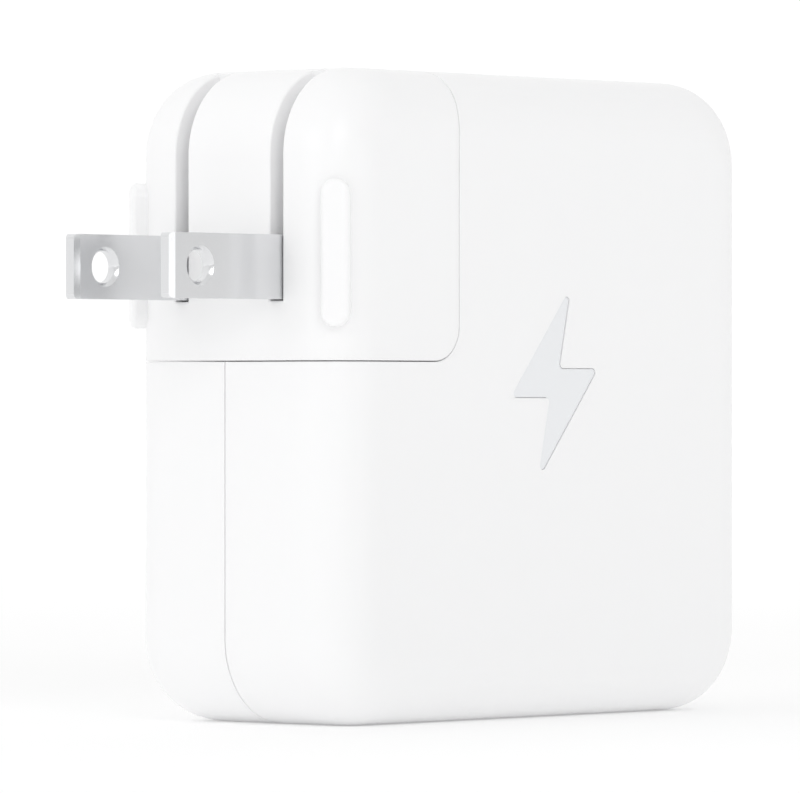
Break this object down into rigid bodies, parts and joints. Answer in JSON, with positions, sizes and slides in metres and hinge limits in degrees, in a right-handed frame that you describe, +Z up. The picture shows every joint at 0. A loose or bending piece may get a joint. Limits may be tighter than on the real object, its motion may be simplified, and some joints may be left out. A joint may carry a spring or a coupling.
{
  "type": "laptop power adapter",
  "caption": "Square white laptop power adapter with a removable corner plug head, folding flat blades and a USB-C outlet.",
  "frame": {"origin": "middle of the flat bottom of the case", "axes": "+X along the width away from the blades, +Y through the thickness towards the rear shell, +Z up"},
  "size_m": [0.0809, 0.0294, 0.065],
  "materials": {
    "case_white": "satin",
    "emblem_grey": "gloss",
    "inner_white": "matte",
    "rotor_plastic": "matte",
    "blade_nickel": "brushed",
    "plated_steel": "polished",
    "pin_brass": "plated",
    "contact_gold": "gold plated",
    "tongue_black": "matte",
    "wire_black": "matte",
    "wire_white": "matte",
    "board_green": "solder mask",
    "chip_black": "matte",
    "capacitor_sleeve": "gloss",
    "capacitor_can": "satin",
    "film_box_yellow": "satin",
    "disc_blue": "gloss",
    "fuse_brown": "gloss",
    "ferrite": "matte",
    "copper_winding": "enamelled copper wire",
    "bobbin_black": "matte",
    "tape_yellow": "gloss",
    "spreader_aluminium": "satin",
    "film_amber": "gloss",
    "pad_grey": "matte"
  },
  "bodies": {
    "case": {"front_shell": "case_white", "rear_shell": "case_white", "emblem_inlay": "emblem_grey", "inlet_cup": "inner_white", "ground_stud": "plated_steel", "stud_nut": "plated_steel", "usb_c_shell": "plated_steel", "live_inlet_pin": "pin_brass", "neutral_inlet_pin": "pin_brass", "usb_c_contacts": "contact_gold", "usb_c_tongue": "tongue_black", "board_header": "tongue_black", "live_input_wire": "wire_black", "neutral_input_wire": "wire_white", "main_board": "board_green", "port_board": "board_green", "controller_chip": "chip_black", "optocoupler": "chip_black", "rectifier_transistors": "chip_black", "switching_transistors": "chip_black", "bridge_rectifier": "chip_black", "lower_bulk_capacitor": "capacitor_sleeve", "upper_bulk_capacitor": "capacitor_sleeve", "output_capacitors": "capacitor_can", "x_capacitor": "film_box_yellow", "y_capacitor": "disc_blue", "fuse": "fuse_brown", "choke_core": "ferrite", "transformer_core": "ferrite", "output_inductor": "ferrite", "choke_windings": "copper_winding", "transformer_winding": "copper_winding", "transformer_bobbin": "bobbin_black", "transformer_tape": "tape_yellow", "front_heat_spreader": "spreader_aluminium", "rear_heat_spreader": "spreader_aluminium", "front_insulation_film": "film_amber", "rear_insulation_film": "film_amber", "thermal_pad": "pad_grey"},
    "plug_head": {"plug_cover": "case_white", "plug_base": "inner_white", "figure_eight_post": "inner_white", "live_socket": "pin_brass", "neutral_socket": "pin_brass", "live_contact_spring": "pin_brass", "neutral_contact_spring": "pin_brass", "slot_rail": "plated_steel", "rotor_retainer": "rotor_plastic", "pivot_pin": "plated_steel"},
    "prongs": {"live_prong": "blade_nickel", "neutral_prong": "blade_nickel", "prong_rotor": "rotor_plastic"}
  },
  "joints": [
    {"name": "head_release", "type": "slide", "parent": "case", "child": "plug_head", "axis": [0, 0, 1], "range_m": [0, 0.03]},
    {"name": "blade_fold", "type": "hinge", "parent": "plug_head", "child": "prongs", "pos_m": [-0.02933, 0, 0.0452], "axis": [0, 1, 0], "range_deg": [0, 90]}
  ]
}
